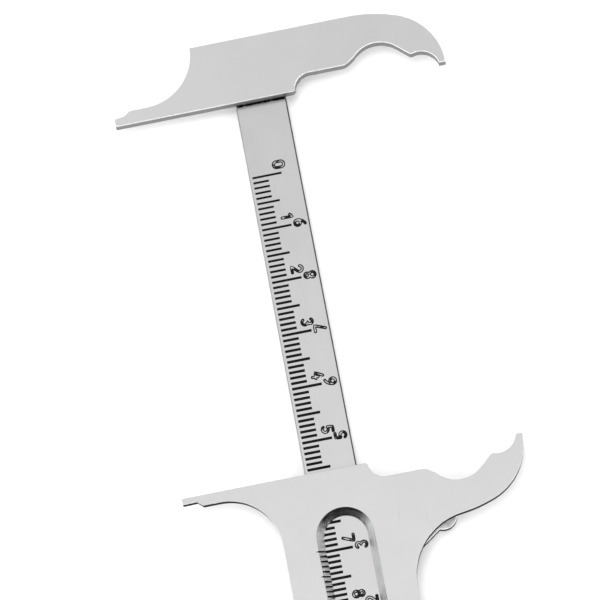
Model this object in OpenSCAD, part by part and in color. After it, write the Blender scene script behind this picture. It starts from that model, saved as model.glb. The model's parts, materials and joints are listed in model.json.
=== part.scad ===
/* [Beam] */
// Width of the graduated beam
beam_w = 9.4; // [9:0.1:10]
// Thickness of the beam
beam_t = 2.6; // [2.2:0.1:3.4]
// Chamfer along the beam's long edges
beam_edge = 0.2; // [0.05:0.05:0.4]
// Radius of the two corners at the beam's tail
tail_r = 1.6; // [0.5:0.1:3]
// Length of beam left past the tail stop's head
tail_past_stop = 1.2; // [0.5:0.1:6]
// How far the beam stops short of the fixed jaw's top edge
beam_top_inset = 0.5; // [0.2:0.1:2]

/* [Scale] */
// Graduated length, one mark for each millimetre
scale_len = 100; // [80:1:120]
// Distance from the fixed jaw's measuring face to the zero mark
scale_start = 14; // [13:0.5:18]
// Width of an engraved mark
mark_w = 0.4; // [0.2:0.02:0.46]
// Depth of the engraving
mark_depth = 0.12; // [0.05:0.01:0.2]
// Bare strip between the beam's left edge and the marks
mark_margin = 0.6; // [0.3:0.05:1]
// Length of a millimetre mark
mark_short = 2.9; // [2:0.1:3.5]
// Length of a mark at each fifth millimetre
mark_mid = 4.2; // [3.6:0.1:4.8]
// Length of a mark at each whole centimetre
mark_long = 5.45; // [5:0.05:6.5]

/* [Jaw plates] */
// Thickness of the two front plates that carry the jaws
plate_t = 2.4; // [2.2:0.1:3]
// Depth of the fixed jaw plate from measuring face to top edge
jaw_depth = 12.15; // [11.5:0.05:14]
// Reach of the pointed jaws left of the beam's centre line
blade_reach = 27; // [25:0.5:32]

/* [Fixed pointed jaw] */
// Height of the fixed pointed jaw at its tip
fixed_tip_h = 1.5; // [1:0.05:1.6]
// Height of its thin blade where the step starts
fixed_thin_h = 1.75; // [1.65:0.05:2]
// Length of its thin blade
fixed_thin_len = 1.9; // [1.5:0.1:3.5]
// Length of the step from its thin blade up to the neck
fixed_step = 1.1; // [0.3:0.1:1.4]
// Height of its neck
fixed_neck_h = 2.56; // [2.4:0.02:2.9]
// Radius of the sweep from its neck up the fixed plate's left side
fixed_sweep_r = 9.62; // [9.61:0.01:10.2]
// Left side of the fixed plate, from the beam's centre line
fixed_left = 11.1; // [10.2:0.05:11.5]

/* [Sliding pointed jaw] */
// Height of the sliding pointed jaw at its tip
slide_tip_h = 1.2; // [0.8:0.05:1.5]
// Height of its thin blade where the step starts
slide_thin_h = 1.12; // [1:0.02:1.6]
// Length of its thin blade
slide_thin_len = 2.6; // [1.5:0.1:3.5]
// Length of the step from its thin blade down to the neck
slide_step = 1; // [0.3:0.1:1.4]
// Height of its neck
slide_neck_h = 1.98; // [1.8:0.02:2.4]
// Radius of the sweep from its neck down the slider's left side
slide_sweep_r = 9.7; // [8:0.1:10.7]
// Left side of the slider, from the beam's centre line
slide_left = 10.65; // [10.2:0.05:11]

/* [Hooked jaws] */
// Where the straight top edge ends and the hook's back starts
hook_x = 18.6; // [17.5:0.1:19.5]
// Radius of the hook's back
hook_back_r = 25.8; // [23:0.1:27]
// Radius of the hook's outer end
hook_end_r = 11; // [10.5:0.1:12.5]
// Direction in which the two outer arcs meet
hook_blend = 69.7; // [66:0.1:72]
// Centre of the round notch beside the measuring face
notch_x = 9.7; // [9.2:0.1:10.4]
// Radius and depth of the notch
notch_r = 3.03; // [2.5:0.01:3.4]
// Centre of the arched recess
arch_x = 22.6; // [22.2:0.1:23]
// Height of the arch's centre above the measuring line
arch_y = 0.4; // [0:0.1:0.8]
// Radius of the arched recess
arch_r = 5.7; // [5.4:0.05:6]
// Centre of the hollow behind the beak
beak_x = 30.05; // [29.8:0.05:30.3]
// How far the hollow's centre lies past the measuring line
beak_y = 0.7; // [0.5:0.1:1]
// Radius of the hollow behind the beak
beak_r = 3.53; // [3.4:0.01:3.6]
// Direction of the arch's left end, where a short bevel leads to the notch
arch_start = 138; // [134:1:142]
// Length of that bevel along the notch
arch_lead = 0.85; // [0.4:0.05:1.2]
// Direction of the arch's right end, where a straight flank starts
arch_end = 48; // [44:1:52]
// Length of the straight flank
flank_len = 3.4; // [3:0.1:3.8]

/* [Sliding jaw] */
// Jaw opening at rest, read on the scale
opening = 70; // [0:0.1:100]
// Length of the slider from measuring face to lower edge
slider_len = 37; // [35:0.5:42]
// Right side of the slider's body, from the beam's centre line
slider_right = 11.3; // [11:0.1:12.5]
// Radius of the slider's lower corners
slider_corner = 3; // [1:0.1:4]
// Radius of the concave thumb rest under the hooked jaw
thumb_r = 11.5; // [11:0.1:12]
// Gap between the two measuring faces when the gauge is closed
close_gap = 0.02; // [0.01:0.01:0.05]

/* [Window and vernier] */
// Sideways place of the window on the slider
window_x = 0.5; // [0:0.05:0.8]
// Distance from the measuring face to the window's upper rim
window_top = 6.95; // [6.5:0.05:8]
// Width of the window at the scale
window_in = 7.9; // [7:0.1:8.4]
// Width of the bevelled rim at the plate's face
window_out = 10.4; // [9.6:0.1:11]
// Height of the straight edge under the bevel
window_land = 0.3; // [0.15:0.05:0.6]
// Number of vernier divisions
vernier_n = 10; // [10:10:20]
// Length that the vernier spans
vernier_span = 9; // [9:1:9]
// Width of an engraved vernier line
vernier_w = 0.3; // [0.2:0.02:0.36]
// Depth of the vernier lines
vernier_depth = 0.14; // [0.05:0.01:0.2]
// Length of the tapered ends on the plate beside lines 0, 5 and 10
vernier_lead = 0.5; // [0.3:0.1:1]

/* [Slide] */
// Gap between the beam's side and each rail
side_gap = 0.05; // [0.02:0.01:0.1]
// Gap between the beam's faces and the slider's plates
face_gap = 0.03; // [0.01:0.01:0.08]
// Thickness of the slider's back plate
back_t = 1.2; // [1:0.1:1.6]
// How far the inner pieces stay inside the slider's outline
inset = 0.3; // [0.1:0.1:0.6]
// Distance from the measuring face to the inner pieces
inner_top = 1.5; // [1:0.1:2.5]
// Height of the upper right rail's wide end
upper_rail_h = 4.2; // [3.8:0.1:4.8]
// Height of the whole upper right rail
upper_leg_h = 10.7; // [10.2:0.1:11.4]
// Width of the upper right rail's narrow leg
upper_leg_w = 3.2; // [3:0.1:3.4]
// Gap between the brake nose and the lower right rail
lower_rail_gap = 0.6; // [0.5:0.1:1]
// Depth of the left rail's pocket for the leaf spring
pocket_d = 0.75; // [0.6:0.05:1]
// Length of solid rail at each end of the pocket
pocket_land = 4.6; // [3.5:0.1:6]
// Thickness of the leaf spring in the pocket
leaf_t = 0.25; // [0.15:0.05:0.35]
// Gap at each place where a spring bears
spring_gap = 0.02; // [0.01:0.01:0.05]
// Gap at each end of the leaf spring
leaf_end_gap = 0.3; // [0.1:0.1:1]

/* [Thumb lever] */
// Thickness of the lever
lever_t = 2.3; // [1.8:0.1:2.5]
// Distance from the beam's side to the lever's pivot
pivot_side = 3; // [2.9:0.05:3.2]
// Distance from the measuring face down to the pivot
pivot_y = 18.8; // [18.4:0.1:19.2]
// Radius of the boss round the pivot
boss_r = 2.6; // [2.3:0.1:2.7]
// Length from the pivot to the middle of the thumb pad
arm_len = 12.65; // [12:0.05:13]
// Angle of the arm from the slider's crossways direction
arm_angle = 34.7; // [33:0.1:36]
// Width of the arm
arm_w = 2.5; // [2.2:0.1:3]
// Radius of the thumb pad
pad_r = 2.45; // [2:0.05:2.6]
// Distance along the beam from the pivot to the brake nose
nose_drop = 5.6; // [5:0.1:5.8]
// Radius of the brake nose
nose_r = 1.2; // [1:0.1:1.3]
// Width of the short arm that carries the nose
nose_arm_w = 2.2; // [1.8:0.1:2.4]
// Gap between the brake nose and the beam
nose_gap = 0.03; // [0.01:0.01:0.1]
// Radius of the pivot screw's plain shank
pivot_r = 1.25; // [1:0.05:1.4]
// Running clearance between the pivot screw and the lever
pivot_fit = 0.04; // [0.01:0.01:0.1]
// Radius of the pivot screw's sunk head
pivot_head_r = 2.2; // [1.9:0.1:2.4]

/* [Lever spring] */
// Thickness of the bent spring strip
strip_t = 0.4; // [0.3:0.05:0.5]
// Width of the bent spring strip
strip_w = 1.8; // [1.2:0.1:2.2]
// Straight length of strip between the rail and its bend
strip_drop = 0.4; // [0.2:0.1:1]
// Length of strip held in the rail's slot
strip_hold = 3.6; // [3:0.1:4]
// Solid rail between the strip and the rail's right side
strip_wall = 1.6; // [1.5:0.1:1.8]

/* [Screws] */
// Radius of the screws that hold the slider together
screw_r = 0.85; // [0.7:0.05:0.95]
// Radius of their sunk heads
screw_head_r = 1.5; // [1.3:0.05:1.55]
// Height of the straight rim on a sunk head
sunk_rim = 0.15; // [0.1:0.05:0.3]
// Distance from a rail's end to its nearest screw
screw_end = 2.3; // [2.1:0.1:2.4]
// Distance from the beam's right side to the upper screw
screw_side = 2.2; // [1.8:0.1:2.5]
// Distance from the narrow leg's end to its screw
screw_leg_end = 1.9; // [1.7:0.1:2.4]
// Turn from one screw's slot to the next
slot_turn = 37; // [0:1:90]
// Depth that each screw enters the front plate
screw_bite = 1.5; // [1:0.1:1.8]
// Gap between every screw and its hole
screw_gap = 0.03; // [0.01:0.01:0.06]
// Radius of the screws that hold the fixed jaw
jaw_screw_r = 1.1; // [0.9:0.05:1.3]
// Radius of the round heads on the jaw screws
jaw_screw_head_r = 2; // [1.8:0.1:2.2]
// Sideways spacing of the two lower jaw screws
jaw_screw_dx = 5; // [4.6:0.1:5]
// Height of the two lower jaw screws above the measuring face
jaw_screw_y = 3.2; // [2.6:0.1:3.6]
// Distance from the lower jaw screws up to the third one
jaw_screw_dy = 5.2; // [4.5:0.1:5.4]
// Radius of the dowel pins that locate the fixed jaw
dowel_r = 0.8; // [0.6:0.05:0.9]
// Sideways spacing of the dowel pins
dowel_dx = 6.4; // [6:0.1:6.6]
// Height of the dowel pins above the measuring face
dowel_y = 8.6; // [8:0.1:9]
// Gap round each dowel pin
dowel_gap = 0.01; // [0.01:0.01:0.03]
// Radius of the tail stop's head
stop_head_r = 1.7; // [1.4:0.1:2]
// Radius of the tail stop's shank
stop_r = 0.9; // [0.7:0.05:1.1]
// Depth that the tail stop enters the beam
stop_bite = 1.9; // [1.4:0.1:2]
// Play left between slider and tail stop at the end of the scale
stop_play = 0.2; // [0.1:0.1:1]
// Width of the slots in the screw heads
slot_w = 0.45; // [0.3:0.05:0.6]
// Depth of the slots in the screw heads
slot_d = 0.45; // [0.3:0.05:0.6]

/* [Hidden] */
$fn = 96;

// How far a cutter runs past the face that it opens
over = 1;

// Heights, measured from the beam's back face
slider_z = beam_t + face_gap;
inner_h = beam_t + 2 * face_gap;
back_z = -face_gap - back_t;
head_h = face_gap + back_t;

// Sides of the inner pieces, from the beam's centre line
beam_side = beam_w / 2;
rail_side = beam_side + side_gap;
rail_left = slide_left - inset;
rail_right = slider_right - inset;
inner_len = slider_len - inset;

// Thumb rest, whose circle just touches the arc of the hook's back
thumb_x = slider_right + thumb_r;
thumb_y = jaw_depth - hook_back_r + sqrt(pow(hook_back_r + thumb_r, 2) - pow(thumb_x - hook_x, 2));
thumb_end_x = hook_x + (thumb_x - hook_x) * hook_back_r / (hook_back_r + thumb_r);

// Beam from end to end
beam_top = jaw_depth - beam_top_inset;
stop_y = -(scale_len + close_gap + inner_len + stop_play + stop_head_r);
beam_tail = stop_y - stop_head_r - tail_past_stop;

// Top of the inner pieces on the right, where the notch would show them
right_top = notch_r + inset;

// Thumb lever
pivot = [beam_side + pivot_side, -pivot_y];
pad = pivot + arm_len * [cos(arm_angle), sin(arm_angle)];
nose = [beam_side + nose_gap + nose_r, -pivot_y - nose_drop];
lever_z = (beam_t - lever_t) / 2;

// Lever spring: a straight end in the rail, then a quarter turn that ends on the arm
strip_x = rail_right - strip_wall;
strip_y = -right_top - upper_rail_h - strip_drop;
strip_z = (beam_t - strip_w) / 2;
arm_top_y = pivot[1] + arm_w / 2 / cos(arm_angle) + tan(arm_angle) * (strip_x - pivot[0]);
strip_r = (strip_y - strip_t / 2 - spring_gap - arm_top_y) / (1 + tan(arm_angle));

// Leaf spring, a shallow arc from the pocket's floor to the beam
leaf_len = inner_len - inner_top - 2 * (pocket_land + leaf_end_gap);
leaf_mid = -(inner_len + inner_top) / 2;
leaf_sag = pocket_d + side_gap - leaf_t - 2 * spring_gap;
leaf_r = (leaf_len * leaf_len / 4 + leaf_sag * leaf_sag) / (2 * leaf_sag);

// Window and vernier
window_side = (window_out - window_in) / 2;
window_a = window_top + window_out / 2;
vernier_zero = scale_start - close_gap;
window_b = 2 * vernier_zero + vernier_span - window_a;
bevel_h = plate_t - window_land;
bevel_angle = atan2(bevel_h, window_side);
bevel_run = sqrt(bevel_h * bevel_h + window_side * window_side);

// Screw places
lower_rail_top = nose[1] - nose_r - lower_rail_gap;
left_mid = -(rail_side + rail_left) / 2;
lower_mid = (rail_side + rail_right) / 2;
screw_places = [
    [left_mid, -inner_top - screw_end],
    [left_mid, -inner_len + screw_end],
    [rail_side + screw_side, -right_top - upper_rail_h / 2],
    [rail_side + upper_leg_w / 2, -right_top - upper_leg_h + screw_leg_end],
    [lower_mid, lower_rail_top - screw_end],
    [lower_mid, -inner_len + screw_end]
];
jaw_screw_places = [
    [-jaw_screw_dx / 2, jaw_screw_y],
    [jaw_screw_dx / 2, jaw_screw_y],
    [0, jaw_screw_y + jaw_screw_dy]
];
dowel_places = [[-dowel_dx / 2, dowel_y], [dowel_dx / 2, dowel_y]];

// Lowers a piece so that the middle of the fixed jaw's measuring face is at z = 0
module at_beam() {
    translate([0, 0, -beam_t - plate_t / 2]) children();
}

// The same for a piece of the slider, moved to the opening at rest
module at_slider() {
    translate([0, -opening - close_gap, 0]) at_beam() children();
}

// Rectangle with two rounded corners at its lower end
module rounded_end(x0, x1, y_low, y_high, r) {
    translate([x0 + r, y_low]) square([x1 - x0 - 2 * r, y_high - y_low]);
    translate([x0, y_low + r]) square([x1 - x0, y_high - y_low - r]);
    for (x = [x0 + r, x1 - r]) translate([x, y_low + r]) circle(r);
}

// Outline of a pointed jaw from the hook's start to the blade's tip, then up to a given height
function blade_points(tip, thin, thin_len, step, neck, back_x, h) = [
    [hook_x, 0], [-blade_reach, 0], [-blade_reach, tip], [thin_len - blade_reach, thin],
    [thin_len + step - blade_reach, neck], [back_x, neck], [back_x, h]
];

// Arcs on the back of the hooked jaw, joined where their tangents agree
module hook_back() {
    back = [hook_x, jaw_depth - hook_back_r];
    end = back + (hook_back_r - hook_end_r) * [cos(hook_blend), sin(hook_blend)];
    far = 2 * hook_back_r;
    intersection() {
        translate(back) cylinder(h = plate_t, r = hook_back_r);
        linear_extrude(plate_t) polygon([
            back, back + [-notch_r, far], back + far * [cos(hook_blend), sin(hook_blend)]
        ]);
    }
    translate(end) cylinder(h = plate_t, r = hook_end_r);
}

// Upright round cutter through a plate
module bore(x, y, r) {
    translate([x, y, -over]) cylinder(h = plate_t + 2 * over, r = r);
}
// The same as a block
module slot(x, y, w, h) {
    translate([x, y, -over]) cube([w, h, plate_t + 2 * over]);
}

// Everything cut from a jaw: the sweep, the notch, the arch and the beak's hollow
module jaw_cuts(left, neck, sweep_r) {
    far = 2 * hook_back_r;
    from_notch = [arch_x + arch_r * cos(arch_start), arch_y + arch_r * sin(arch_start)];
    corner_x = arch_x - sqrt(arch_r * arch_r - pow(notch_r - arch_y, 2));
    flank = [arch_x + arch_r * cos(arch_end), arch_y + arch_r * sin(arch_end)];
    flank_to = flank + flank_len * [sin(arch_end), -cos(arch_end)];
    slot(0, -far, far, far);
    bore(-left - sweep_r, neck + sweep_r, sweep_r);
    bore(notch_x, 0, notch_r);
    slot(notch_x, -notch_r, arch_x - notch_x, 2 * notch_r);
    bore(arch_x, arch_y, arch_r);
    slot(arch_x - arch_r, -arch_r, 2 * arch_r, arch_r + arch_y);
    bore(beak_x, -beak_y, beak_r);
    translate([0, 0, -over]) linear_extrude(plate_t + 2 * over) {
        polygon([from_notch, [corner_x - arch_lead, notch_r], [from_notch[0], notch_r - arch_lead]]);
        polygon([flank, flank_to, [flank[0], flank_to[1] - over]]);
    }
}

// Both jaws of the fixed plate, before its holes
module fixed_jaw_body() {
    blade = blade_points(fixed_tip_h, fixed_thin_h, fixed_thin_len, fixed_step, fixed_neck_h,
                         -fixed_left - fixed_sweep_r, jaw_depth);
    difference() {
        union() {
            linear_extrude(plate_t) polygon(concat(blade, [[hook_x, jaw_depth]]));
            hook_back();
        }
        jaw_cuts(fixed_left, fixed_neck_h, fixed_sweep_r);
    }
}

// Slider outline: two such jaws turned over, with the body and the thumb rest
module slider_body() {
    low = slider_len - slider_corner;
    back_y = slide_neck_h + slide_sweep_r;
    blade = blade_points(slide_tip_h, slide_thin_h, slide_thin_len, slide_step, slide_neck_h,
                         -slide_left - slide_sweep_r, back_y);
    body = [[-slide_left, back_y], [-slide_left, low], [slider_right, low],
            [slider_right, thumb_y], [thumb_end_x, thumb_y],
            [thumb_end_x, jaw_depth - slide_neck_h], [hook_x, jaw_depth - slide_neck_h]];
    difference() {
        union() {
            mirror([0, 1, 0]) difference() {
                union() {
                    linear_extrude(plate_t) polygon(concat(blade, body));
                    hook_back();
                }
                jaw_cuts(slide_left, slide_neck_h, slide_sweep_r);
            }
            linear_extrude(plate_t)
                rounded_end(-slide_left, slider_right, -slider_len, slider_corner - low, slider_corner);
        }
        bore(thumb_x, -thumb_y, thumb_r);
    }
}

// Plain screw shank upwards from z = 0, with a sunk head below its start
module sunk_screw(r, head_r, total, gap = 0) {
    cone = head_r - r;
    cylinder(h = sunk_rim + gap, r = head_r + gap);
    translate([0, 0, sunk_rim + gap]) cylinder(h = cone, r1 = head_r + gap, r2 = r + gap);
    cylinder(h = total + gap, r = r + gap);
}

// Round-headed screw: head under z = 0, shank above it
module round_screw(r, head_r, bite) {
    difference() {
        union() {
            translate([0, 0, -head_h]) cylinder(h = head_h, r = head_r);
            cylinder(h = bite, r = r);
        }
        translate([-head_r, -slot_w / 2, -head_h - over]) cube([2 * head_r, slot_w, slot_d + over]);
    }
}

// Engraved marks of the main scale with round ends, cut into the beam's front face
module scale_marks() {
    end_r = mark_w / 2;
    for (i = [0 : scale_len]) {
        mark_len = i % 10 == 0 ? mark_long : i % 5 == 0 ? mark_mid : mark_short;
        translate([-beam_side + mark_margin, -scale_start - i, beam_t - mark_depth]) {
            translate([end_r, -end_r, 0]) cube([mark_len - mark_w, mark_w, mark_depth + over]);
            for (x = [end_r, mark_len - end_r]) translate([x, 0, 0])
                cylinder(h = mark_depth + over, r = end_r);
        }
    }
}

// Graduated beam with chamfered edges and a rounded tail
module scale_beam() color("lightgray") {
    e = beam_edge;
    at_beam() difference() {
        intersection() {
            translate([0, beam_top, 0]) rotate([90, 0, 0]) linear_extrude(beam_top - beam_tail)
                polygon([[-beam_side + e, 0], [beam_side - e, 0], [beam_side, e],
                         [beam_side, beam_t - e], [beam_side - e, beam_t],
                         [-beam_side + e, beam_t], [-beam_side, beam_t - e], [-beam_side, e]]);
            linear_extrude(beam_t)
                rounded_end(-beam_side, beam_side, beam_tail, beam_top, tail_r);
        }
        scale_marks();
        for (p = jaw_screw_places) translate([p[0], p[1], -over])
            cylinder(h = beam_t + 2 * over, r = jaw_screw_r + screw_gap);
        for (p = dowel_places) translate([p[0], p[1], -over])
            cylinder(h = beam_t + 2 * over, r = dowel_r + dowel_gap);
        translate([0, stop_y, -over]) cylinder(h = stop_bite + over + screw_gap, r = stop_r + screw_gap);
    }
}

// Fixed jaw plate on the beam's front face
module fixed_jaw() color("silver") {
    at_beam() translate([0, 0, beam_t]) difference() {
        fixed_jaw_body();
        for (p = jaw_screw_places) translate([p[0], p[1], -over])
            cylinder(h = screw_bite + over + screw_gap, r = jaw_screw_r + screw_gap);
        for (p = dowel_places) translate([p[0], p[1], -over])
            cylinder(h = screw_bite + over + dowel_gap, r = dowel_r + dowel_gap);
    }
}

// Three screws through the beam into the fixed jaw
module jaw_screws() color("gray") {
    at_beam() for (p = jaw_screw_places) translate([p[0], p[1], 0])
        rotate([0, 0, slot_turn * p[0]]) round_screw(jaw_screw_r, jaw_screw_head_r, beam_t + screw_bite);
}

// Two dowel pins that keep the fixed jaw square to the beam
module jaw_dowels() color("gray") {
    at_beam() for (p = dowel_places) translate([p[0], p[1], 0])
        cylinder(h = beam_t + screw_bite, r = dowel_r);
}

// Screw that stops the slider at the tail
module tail_stop_screw() color("gray") {
    at_beam() translate([0, stop_y, 0]) rotate([0, 0, -slot_turn])
        round_screw(stop_r, stop_head_r, stop_bite);
}

// Bevelled window, widest at the plate's face
module window_cut() {
    for (y = [window_a, window_b]) translate([window_x, -y, 0]) {
        translate([0, 0, -over]) cylinder(h = window_land + over, r = window_in / 2);
        translate([0, 0, window_land]) cylinder(h = bevel_h, r1 = window_in / 2, r2 = window_out / 2);
    }
    translate([window_x, -window_a, 0]) rotate([90, 0, 0]) linear_extrude(window_b - window_a)
        polygon([[-window_in / 2, -over], [window_in / 2, -over], [window_in / 2, window_land],
                 [window_out / 2, plate_t], [-window_out / 2, plate_t], [-window_in / 2, window_land]]);
}

// Vernier lines down the left bevel, with tapered ends on the plate for 0, 5 and 10
module vernier_cuts() {
    for (i = [0 : vernier_n]) translate([0, -vernier_zero - i * vernier_span / vernier_n, 0]) {
        translate([window_x - window_in / 2, 0, window_land]) rotate([0, -180 + bevel_angle, 0])
            translate([-vernier_depth, -vernier_w / 2, -over])
                cube([bevel_run, vernier_w, over + vernier_depth]);
        if (i % (vernier_n / 2) == 0) translate([window_x - window_out / 2, 0, plate_t - vernier_depth])
            linear_extrude(over) polygon([[vernier_w, -vernier_w / 2], [vernier_w, vernier_w / 2],
                                          [0, vernier_w / 2], [-vernier_lead, 0], [0, -vernier_w / 2]]);
    }
}

// Slider's front plate with jaws, window and vernier
module slider_plate() color("silver") {
    at_slider() translate([0, 0, slider_z]) difference() {
        slider_body();
        window_cut();
        vernier_cuts();
        for (p = screw_places) translate([p[0], p[1], -over])
            cylinder(h = screw_bite + over + screw_gap, r = screw_r + screw_gap);
        translate([pivot[0], pivot[1], -over])
            cylinder(h = screw_bite + over + screw_gap, r = pivot_r + screw_gap);
    }
}

// Back plate that closes the channel round the beam
module back_plate() color("lightgray") {
    at_slider() translate([0, 0, back_z]) difference() {
        linear_extrude(back_t)
            rounded_end(-rail_left, rail_right, -inner_len, -inner_top, slider_corner);
        translate([rail_side, -right_top, -over]) cube([rail_right, right_top, back_t + 2 * over]);
        for (p = screw_places) translate([p[0], p[1], 0])
            sunk_screw(screw_r, screw_head_r, back_t + over, screw_gap);
        translate([pivot[0], pivot[1], 0])
            sunk_screw(pivot_r, pivot_head_r, back_t + over, screw_gap);
    }
}

// Holes for the sunk screws through a rail
module rail_holes() {
    for (p = screw_places) translate([p[0], p[1], -over])
        cylinder(h = inner_h + 2 * over, r = screw_r + screw_gap);
}

// Left rail with the pocket for the leaf spring
module left_rail() color("darkgray") {
    at_slider() translate([0, 0, -face_gap]) difference() {
        linear_extrude(inner_h) difference() {
            intersection() {
                translate([-rail_left, -inner_len])
                    square([rail_left - rail_side, inner_len - inner_top]);
                rounded_end(-rail_left, rail_right, -inner_len, -inner_top, slider_corner);
            }
            translate([-rail_side - pocket_d, -inner_len + pocket_land])
                square([pocket_d + over, inner_len - inner_top - 2 * pocket_land]);
        }
        rail_holes();
    }
}

// Upper right rail: a wide end that holds the lever spring, and a narrow leg
module upper_right_rail() color("darkgray") {
    at_slider() translate([0, 0, -face_gap]) difference() {
        linear_extrude(inner_h) difference() {
            union() {
                translate([rail_side, -right_top - upper_rail_h])
                    square([rail_right - rail_side, upper_rail_h]);
                translate([rail_side, -right_top - upper_leg_h]) square([upper_leg_w, upper_leg_h]);
            }
            translate([strip_x - strip_t / 2 - spring_gap, -right_top - upper_rail_h - over])
                square([strip_t + 2 * spring_gap, strip_hold + over + spring_gap]);
        }
        rail_holes();
    }
}

// Lower right rail
module lower_right_rail() color("darkgray") {
    at_slider() translate([0, 0, -face_gap]) difference() {
        linear_extrude(inner_h) intersection() {
            translate([rail_side, -inner_len])
                square([rail_right - rail_side, lower_rail_top + inner_len]);
            rounded_end(-rail_left, rail_right, -inner_len, -inner_top, slider_corner);
        }
        rail_holes();
    }
}

// Sunk screws that clamp the back plate and rails to the front plate
module plate_screws() color("gray") {
    last = len(screw_places) - 1;
    at_slider() for (i = [0 : last]) translate([screw_places[i][0], screw_places[i][1], back_z])
        rotate([0, 0, slot_turn * i]) difference() {
            sunk_screw(screw_r, screw_head_r, back_t + inner_h + screw_bite);
            translate([-screw_head_r, -slot_w / 2, -over]) cube([2 * screw_head_r, slot_w, slot_d + over]);
        }
}

// Leaf spring that takes up the side play between left rail and beam
module gib_spring() color("goldenrod") {
    at_slider() translate([0, 0, (beam_t - strip_w) / 2]) linear_extrude(strip_w) intersection() {
        translate([-beam_side - spring_gap - leaf_r, leaf_mid]) difference() {
            circle(leaf_r, $fn = 1440);
            circle(leaf_r - leaf_t, $fn = 1440);
        }
        translate([-rail_side - pocket_d, leaf_mid - leaf_len / 2]) square([pocket_d + over, leaf_len]);
    }
}

// Lever with its thumb pad and the brake nose that bears on the beam
module thumb_lever() color("silver") {
    at_slider() translate([0, 0, lever_z]) linear_extrude(lever_t) difference() {
        union() {
            translate(pivot) circle(boss_r);
            translate(pivot) rotate(arm_angle) translate([0, -arm_w / 2]) square([arm_len, arm_w]);
            translate(pad) circle(pad_r);
            translate(pivot) rotate(atan2(nose[1] - pivot[1], nose[0] - pivot[0]))
                translate([0, -nose_arm_w / 2]) square([norm(nose - pivot), nose_arm_w]);
            translate(nose) circle(nose_r);
        }
        translate(pivot) circle(pivot_r + pivot_fit);
    }
}

// Shoulder screw that the lever turns on
module lever_pivot_screw() color("gray") {
    at_slider() translate([pivot[0], pivot[1], back_z]) difference() {
        sunk_screw(pivot_r, pivot_head_r, back_t + inner_h + screw_bite);
        translate([-pivot_head_r, -slot_w / 2, -over]) cube([2 * pivot_head_r, slot_w, slot_d + over]);
    }
}

// Bent strip that presses the lever's arm away from the jaw
module lever_spring() color("goldenrod") {
    at_slider() translate([strip_x, strip_y, strip_z]) {
        translate([-strip_t / 2, 0, 0])
            cube([strip_t, strip_hold - right_top - upper_rail_h - strip_y, strip_w]);
        intersection() {
            translate([strip_r, 0, 0]) difference() {
                cylinder(h = strip_w, r = strip_r + strip_t / 2);
                translate([0, 0, -over]) cylinder(h = strip_w + 2 * over, r = strip_r - strip_t / 2);
            }
            translate([-strip_t, -2 * strip_r, 0]) cube([strip_r + strip_t, 2 * strip_r, strip_w]);
        }
    }
}

scale_beam();
fixed_jaw();
jaw_screws();
jaw_dowels();
tail_stop_screw();
slider_plate();
back_plate();
left_rail();
upper_right_rail();
lower_right_rail();
plate_screws();
gib_spring();
thumb_lever();
lever_pivot_screw();
lever_spring();
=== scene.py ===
"""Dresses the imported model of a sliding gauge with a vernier, and sets up the picture.

It is laid out as an add-on but is run as a script, after the CAD model has been packed.
All sizes are in metres, in the frame of the CAD model: the hooked jaws are on +X, the head
is on +Y, and the graduated face looks to +Z.
"""

import json
from math import cos, pi, radians, sin, sqrt

import bpy
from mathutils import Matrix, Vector

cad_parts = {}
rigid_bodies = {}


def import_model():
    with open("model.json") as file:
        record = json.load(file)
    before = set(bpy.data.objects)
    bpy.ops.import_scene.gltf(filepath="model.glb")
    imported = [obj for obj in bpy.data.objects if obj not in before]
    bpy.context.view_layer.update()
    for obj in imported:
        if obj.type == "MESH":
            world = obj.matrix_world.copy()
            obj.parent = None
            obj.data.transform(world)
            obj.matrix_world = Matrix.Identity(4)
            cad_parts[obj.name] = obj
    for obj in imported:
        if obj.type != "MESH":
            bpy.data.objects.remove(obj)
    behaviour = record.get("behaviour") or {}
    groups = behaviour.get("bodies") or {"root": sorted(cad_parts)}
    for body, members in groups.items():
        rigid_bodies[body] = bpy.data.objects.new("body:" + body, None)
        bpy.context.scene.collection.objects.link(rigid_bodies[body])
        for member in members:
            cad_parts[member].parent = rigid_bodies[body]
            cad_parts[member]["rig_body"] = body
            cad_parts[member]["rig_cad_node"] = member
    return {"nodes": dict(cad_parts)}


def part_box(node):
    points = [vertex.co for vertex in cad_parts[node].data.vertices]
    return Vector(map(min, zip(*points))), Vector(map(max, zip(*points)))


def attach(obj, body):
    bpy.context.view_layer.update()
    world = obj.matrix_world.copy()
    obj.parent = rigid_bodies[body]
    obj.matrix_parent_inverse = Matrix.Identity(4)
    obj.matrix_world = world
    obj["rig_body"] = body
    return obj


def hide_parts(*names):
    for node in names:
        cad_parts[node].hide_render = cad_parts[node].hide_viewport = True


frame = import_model()

bl_info = {
    "name": "Sliding Gauge Finish",
    "version": (1, 0, 0),
    "blender": (4, 5, 0),
    "location": "View3D > Sidebar > Gauge",
    "description": "Builds the finished surfaces of a sliding gauge round its CAD model",
    "category": "Object",
}

MM = 0.001
SPECK = 0.001 * MM

# Places that the CAD model fixes
BEAM_LOW, BEAM_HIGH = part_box("scale_beam")
BEAM_FACE = BEAM_HIGH.z
BEAM_SIDE = BEAM_HIGH.x
CHAMFER = 0.2 * MM
PLATE_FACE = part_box("slider_plate")[1].z
FLOOR_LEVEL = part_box("back_plate")[0].z

# The scale: its marks start at their left ends and come in three lengths
ZERO_MARK = -14 * MM
SCALE_LENGTH = 100 * MM
MARK_BLOCK = 10 * MM
MARK_PITCH = 1 * MM
MARK_DEPTH = 0.12 * MM
MARKS_LEFT = -4.1 * MM
MARK_SHORT = 2.9 * MM
MARK_MID = 4.2 * MM
MARK_LONG = 5.45 * MM

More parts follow.
